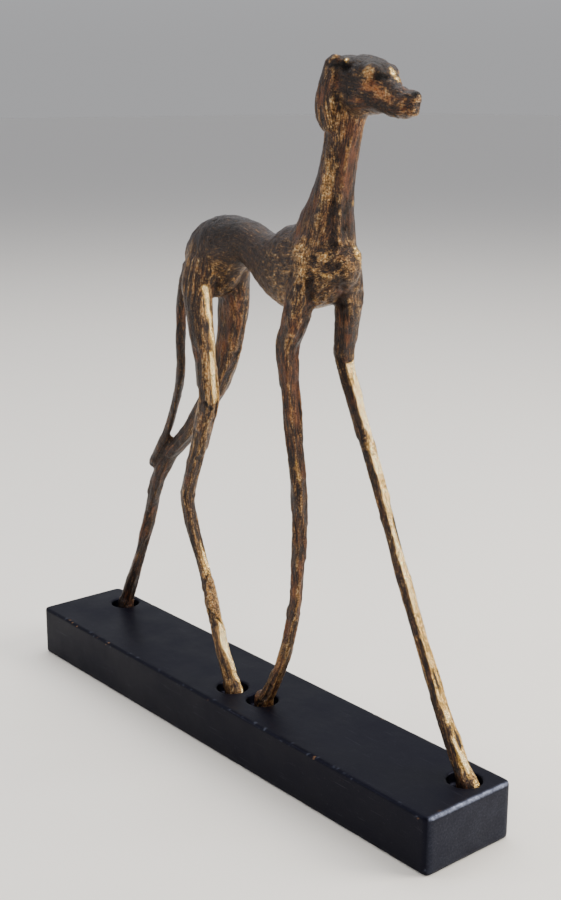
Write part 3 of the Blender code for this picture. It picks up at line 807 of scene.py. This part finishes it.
# Stroke and grit break up the edge of each mask
grit = node(tree, "ShaderNodeMapRange", {
    "From Min": 0.34, "From Max": 0.66, "To Min": -0.26, "To Max": 0.26, "Value": fleck,
})
brushed = node(tree, "ShaderNodeMapRange", {
    "From Min": 0.32, "From Max": 0.68, "To Min": -0.4, "To Max": 0.4, "Value": streak,
})
broken = node(tree, "ShaderNodeMath", {"operation": "ADD", FIRST: grit, SECOND: brushed})
gilt_and_light_here = node(tree, "ShaderNodeMath", {
    "operation": "ADD", FIRST: broken, SECOND: masks["gilt_and_light"],
})
brown_share = node(tree, "ShaderNodeMapRange", {
    "From Min": -0.15, "From Max": 0.75, "Value": gilt_and_light_here,
})
gold_share = node(tree, "ShaderNodeMapRange", {
    "From Min": 0.3, "From Max": 1.35, "Value": gilt_and_light_here,
})
copper_here = node(tree, "ShaderNodeMath", {
    "operation": "MULTIPLY_ADD", FIRST: streak, SECOND: 1.6, THIRD: masks["copper"],
})
copper_share = node(tree, "ShaderNodeMapRange", {
    "From Min": 1.05, "From Max": 2.1, "Value": copper_here,
})
bare_and_highlight_here = node(tree, "ShaderNodeMath", {
    "operation": "MULTIPLY_ADD", FIRST: stroke, SECOND: 1.2, THIRD: masks["bare_and_highlight"],
})
bare_and_highlight_share = node(tree, "ShaderNodeMapRange", {
    "interpolation_type": "SMOOTHSTEP", "From Min": 0.95, "From Max": 1.4, "Value": bare_and_highlight_here,
})
pale_here = node(tree, "ShaderNodeMath", {
    "operation": "MULTIPLY_ADD", FIRST: stroke, SECOND: 1.8, THIRD: masks["bare_and_highlight"],
})
pale_share = node(tree, "ShaderNodeMapRange", {
    "From Min": 1.55, "From Max": 2.1, "Value": pale_here,
})

# Painted glints: bright gold flecks in the colour, on the high grains of the cast skin, and dark
# pits between them
painted_glint = node(tree, "ShaderNodeMapRange", {
    "interpolation_type": "SMOOTHSTEP", "From Min": 0.48, "From Max": 0.66, "Value": sparks,
})
pitted = node(tree, "ShaderNodeMapRange", {
    "interpolation_type": "SMOOTHSTEP", "From Min": 0.44, "From Max": 0.34, "To Max": 0.7,
    "Value": sparks,
})
flecks_of_soot = node(tree, "ShaderNodeMath", {
    "operation": "MULTIPLY_ADD", "use_clamp": True, FIRST: fleck, SECOND: -0.5, THIRD: 0.2,
})
soot_here = node(tree, "ShaderNodeMath", {
    "operation": "ADD", "use_clamp": True, FIRST: flecks_of_soot, SECOND: masks["soot"],
})
dark_here = node(tree, "ShaderNodeMath", {
    "operation": "MAXIMUM", FIRST: soot_here, SECOND: pitted,
})

# The colours lie over each other: wax, gold with its painted glints, copper, soot, and bare metal
# with painted highlight
umber = node(tree, "ShaderNodeMix", {
    "data_type": "RGBA", FACTOR: cloud, COLOUR_A: linear(WAX_DARK), COLOUR_B: linear(WAX_LIGHT),
})
brown = node(tree, "ShaderNodeMix", {
    "data_type": "RGBA", FACTOR: brown_share, COLOUR_A: umber, COLOUR_B: linear(WAX_BROWN),
})
gold_tone = node(tree, "ShaderNodeMix", {
    "data_type": "RGBA", FACTOR: painted_glint, COLOUR_A: linear(GOLD_DULL), COLOUR_B: linear(GOLD_PAINTED_GLINT),
})
gold = node(tree, "ShaderNodeMix", {
    "data_type": "RGBA", FACTOR: gold_share, COLOUR_A: brown, COLOUR_B: gold_tone,
})
red = node(tree, "ShaderNodeMix", {
    "data_type": "RGBA", FACTOR: copper_share, COLOUR_A: gold, COLOUR_B: linear(COPPER_RED),
})
sooty = node(tree, "ShaderNodeMix", {
    "data_type": "RGBA", FACTOR: dark_here, COLOUR_A: red, COLOUR_B: linear(SOOT_BLACK),
})
# Painted highlight: pale metal where the bare metal and highlight mask is high
bright = node(tree, "ShaderNodeMix", {
    "data_type": "RGBA", FACTOR: pale_share,
    COLOUR_A: linear(BARE_AND_HIGHLIGHT_DEEP), COLOUR_B: linear(BARE_AND_HIGHLIGHT_PALE),
})
colour = node(tree, "ShaderNodeMix", {
    "data_type": "RGBA", FACTOR: bare_and_highlight_share, COLOUR_A: sooty, COLOUR_B: bright,
})

# Wax dulls the metal a little, and rubbing brings it back
waxed_metal = node(tree, "ShaderNodeMapRange", {
    "To Min": 0.6, "To Max": 0.95, "Value": gold_share,
})
metal = node(tree, "ShaderNodeMath", {
    "operation": "MAXIMUM", FIRST: waxed_metal, SECOND: bare_and_highlight_share,
})
waxed_gloss = node(tree, "ShaderNodeMapRange", {
    "From Min": 0.3, "From Max": 0.7, "To Min": 0.24, "To Max": 0.44, "Value": fleck,
})
gloss = node(tree, "ShaderNodeMix", {
    "data_type": "FLOAT", FACTOR: bare_and_highlight_share, NUMBER_A: waxed_gloss, NUMBER_B: BARE_ROUGHNESS,
})
relief = node(tree, "ShaderNodeBump", {"Strength": 1.0, "Distance": RELIEF, "Height": stroke})
shader = node(tree, "ShaderNodeBsdfPrincipled", {
    "Base Color": colour, "Metallic": metal, "Roughness": gloss, "Normal": relief,
})
node(tree, "ShaderNodeOutputMaterial", {"Surface": shader})
hound.data.materials.append(brass)
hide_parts("greyhound")
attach(hound, "root")

# The plinth: rubbed along its edges, and chipped here and there on them and on the holes' rims,
# with painted light on its front end.
# A band fades out between two distances from an edge, in millimetres
EDGE_BAND, TOP_BAND, RIM_BAND = (0.9, 3.4), (0.5, 2.0), (0.3, 1.4)
RIM_FROM_TOP = 0.4
OUTER_FACES = (3.0, 3.2)
CHIPPED, CHIP_DEPTH = (0.78, 1.0), 0.5
NEARLY_FLAT = 0.97
block = fine_copy(PLINTH, "plinth_block", PLINTH_CELL)
spots = points_of(block) / MM
normals = normals_of(block)
low, high = np.array(PLINTH_LOW) / MM, np.array(PLINTH_HIGH) / MM
to_end, to_flank, _ = np.minimum(spots - low, high - spots).T
to_top, to_foot = high[2] - spots[:, 2], spots[:, 2] - low[2]
edge_gaps = [
    np.hypot(to_top, to_end),
    np.hypot(to_top, to_flank),
    np.hypot(to_end, to_flank),
    np.hypot(to_foot, to_flank),
    np.hypot(to_foot, to_end),
]
edge = 1 - rises(np.min(edge_gaps, axis=0), *EDGE_BAND)
front_top = (1 - rises(edge_gaps[0], *TOP_BAND)) * rises(spots[:, 0], 0, 1)
inside = rises(np.minimum(to_end, to_flank), *OUTER_FACES)
rim = (1 - rises(np.abs(to_top - RIM_FROM_TOP), *RIM_BAND)) * inside
rim *= np.abs(normals[:, 2]) < NEARLY_FLAT
chips = ripple(spots / 3.1, 51) + 0.5 * ripple(spots / 1.4, 52) + 0.3 * ripple(spots / 30, 57)
chips = rises(chips, *CHIPPED)
waves = 0.05 * ripple(spots / [60, 30, 30], 53) + 0.03 * ripple(spots / [7, 5, 5], 54)
spots += normals * (waves - CHIP_DEPTH * chips * edge * (1 - inside))[:, None]
spots[:, 2] = np.clip(spots[:, 2], low[2], None)
put_points(block, spots * MM)
shade_smooth(block)

ragged = ripple(spots / [4, 4, 2], 55) + 0.6 * ripple(spots / 1.6, 56)
# A pale band along the front end's top edge, some rub on every edge, and painted light over the
# front end's face, where the window lamp falls
lit_front_end = rises(normals_of(block)[:, 0], 0.5, 0.9) * (1 - inside)
rubbed_and_lit = front_top * (0.3 + 0.5 * rises(ragged, -0.7, 0.9))
rubbed_and_lit += 0.12 * edge * rises(ragged, 0.5, 1.0)
rubbed_and_lit += lit_front_end * (0.028 + 0.008 * ripple(spots / 9, 58))
put_attribute(block, "rubbed_and_lit", rubbed_and_lit)
put_attribute(block, "chipped", (edge + 0.7 * rim) * chips)

# Beech, brushed with black lacquer: satin, near black, with fine scratches along it, a grey bloom
# where the edges are rubbed, which on the front end's face is painted light, and brown wood in the
# chips. Hair-fine scratches and dust are drawn coarser than they are, so that they show
SCRATCH_LENGTH, SCRATCH_WIDTH = 22 * MM, 0.5 * MM
SCRATCH_TURN = 0.35
DUST, BRUSH = 1.3 * MM, 30 * MM
DUST_RELIEF = 0.2 * MM
LACQUER_DARK, LACQUER_LIGHT = "#040408", "#0B0B13"
HAZE, BLOOM_AND_LIGHT, RAW_BEECH = "#5A5962", "#A9B2CC", "#7A5B40"
GLEAM, GLEAM_LEVEL = "#C6CAFF", 0.09

lacquer, tree = new_material("black_lacquered_beech")
masks = {
    name: node(tree, "ShaderNodeAttribute", {"attribute_name": name}).outputs["Fac"]
    for name in ("rubbed_and_lit", "chipped")
}
place = node(tree, "ShaderNodeTexCoord", {}).outputs["Object"]
scratch_place = node(tree, "ShaderNodeMapping", {
    "Rotation": (0, 0, SCRATCH_TURN),
    "Scale": (1 / SCRATCH_LENGTH, 1 / SCRATCH_WIDTH, 1 / SCRATCH_WIDTH),
    "Vector": place,
})
scratch_noise = node(tree, "ShaderNodeTexNoise", {
    "Scale": 1.0, "Detail": 1.0, "Vector": scratch_place,
})
dust_noise = node(tree, "ShaderNodeTexNoise", {
    "Scale": 1 / DUST, "Detail": 3.0, "Roughness": 0.7, "Vector": place,
})
brushing = node(tree, "ShaderNodeTexNoise", {"Scale": 1 / BRUSH, "Detail": 4.0, "Vector": place})
scratch = node(tree, "ShaderNodeMapRange", {
    "From Min": 0.7, "From Max": 0.76, "Value": scratch_noise,
})
dust = node(tree, "ShaderNodeMapRange", {"From Min": 0.64, "From Max": 0.74, "Value": dust_noise})
hazy = node(tree, "ShaderNodeMath", {"operation": "MAXIMUM", FIRST: scratch, SECOND: dust})
haze = node(tree, "ShaderNodeMath", {"operation": "MULTIPLY", FIRST: hazy, SECOND: 0.18})
sparkle = node(tree, "ShaderNodeMapRange", {
    "From Min": 0.4, "From Max": 0.6, "To Min": 0.7, "To Max": 1.35, "Value": dust_noise,
})
bloomed_and_lit = node(tree, "ShaderNodeMath", {
    "operation": "MULTIPLY", "use_clamp": True, FIRST: masks["rubbed_and_lit"], SECOND: sparkle,
})
black = node(tree, "ShaderNodeMix", {
    "data_type": "RGBA", FACTOR: brushing,
    COLOUR_A: linear(LACQUER_DARK), COLOUR_B: linear(LACQUER_LIGHT),
})
dusty = node(tree, "ShaderNodeMix", {
    "data_type": "RGBA", FACTOR: haze, COLOUR_A: black, COLOUR_B: linear(HAZE),
})
worn_and_lit = node(tree, "ShaderNodeMix", {
    "data_type": "RGBA", FACTOR: bloomed_and_lit, COLOUR_A: dusty, COLOUR_B: linear(BLOOM_AND_LIGHT),
})
colour = node(tree, "ShaderNodeMix", {
    "data_type": "RGBA", FACTOR: masks["chipped"], COLOUR_A: worn_and_lit, COLOUR_B: linear(RAW_BEECH),
})
satin = node(tree, "ShaderNodeMapRange", {
    "From Min": 0.3, "From Max": 0.7, "To Min": 0.36, "To Max": 0.52, "Value": brushing,
})
dulled = node(tree, "ShaderNodeMath", {
    "operation": "MULTIPLY_ADD", "use_clamp": True,
    FIRST: masks["rubbed_and_lit"], SECOND: 0.3, THIRD: satin,
})
relief = node(tree, "ShaderNodeBump", {
    "Strength": 0.25, "Distance": DUST_RELIEF, "Height": dust_noise,
})
shader = node(tree, "ShaderNodeBsdfPrincipled", {
    "Base Color": colour, "Roughness": dulled, "Normal": relief,
    "Specular IOR Level": GLEAM_LEVEL, "Specular Tint": linear(GLEAM),
})
node(tree, "ShaderNodeOutputMaterial", {"Surface": shader})
block.data.materials.append(lacquer)
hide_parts("plinth")
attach(block, "root")
